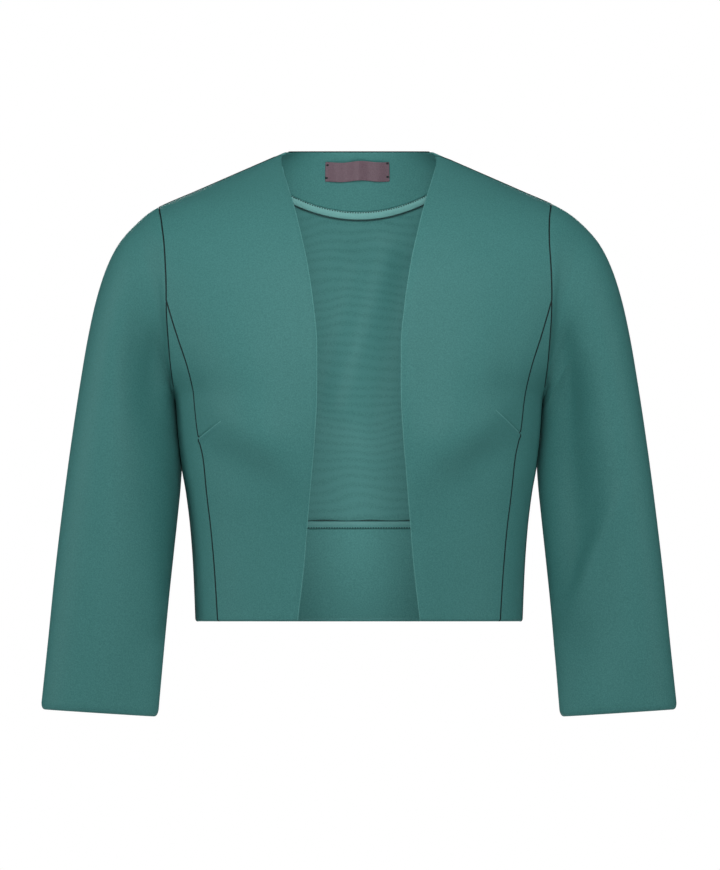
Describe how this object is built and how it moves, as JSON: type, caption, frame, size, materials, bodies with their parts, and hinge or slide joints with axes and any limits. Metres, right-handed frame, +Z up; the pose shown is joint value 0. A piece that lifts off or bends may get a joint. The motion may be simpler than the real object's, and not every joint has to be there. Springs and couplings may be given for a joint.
{
  "type": "cropped open-front jacket",
  "caption": "Cropped collarless open-front jacket with princess seams, bust darts and three-quarter set-in sleeves, hollow and filled out as if worn.",
  "frame": {"origin": "midway between the shoulder seams, at the height of their middle, where the wearer's shoulders hold the jacket", "axes": "+Z up, front faces -Y, +X to the wearer's left"},
  "size_m": [0.6104, 0.2131, 0.545],
  "materials": {
    "cloth": "fine smooth crepe with a soft sheen, teal green",
    "binding": "satin bias binding, teal green",
    "label": "woven satin, dusty plum, bare"
  },
  "bodies": {
    "root": {"front_left": "cloth", "front_right": "cloth", "side_front_left": "cloth", "side_front_right": "cloth", "back": "cloth", "sleeve_left": "cloth", "sleeve_right": "cloth", "back_neck_facing": "cloth", "back_hem_facing": "cloth", "neck_facing_binding": "binding", "hem_facing_binding": "binding", "label": "label"}
  },
  "joints": []
}
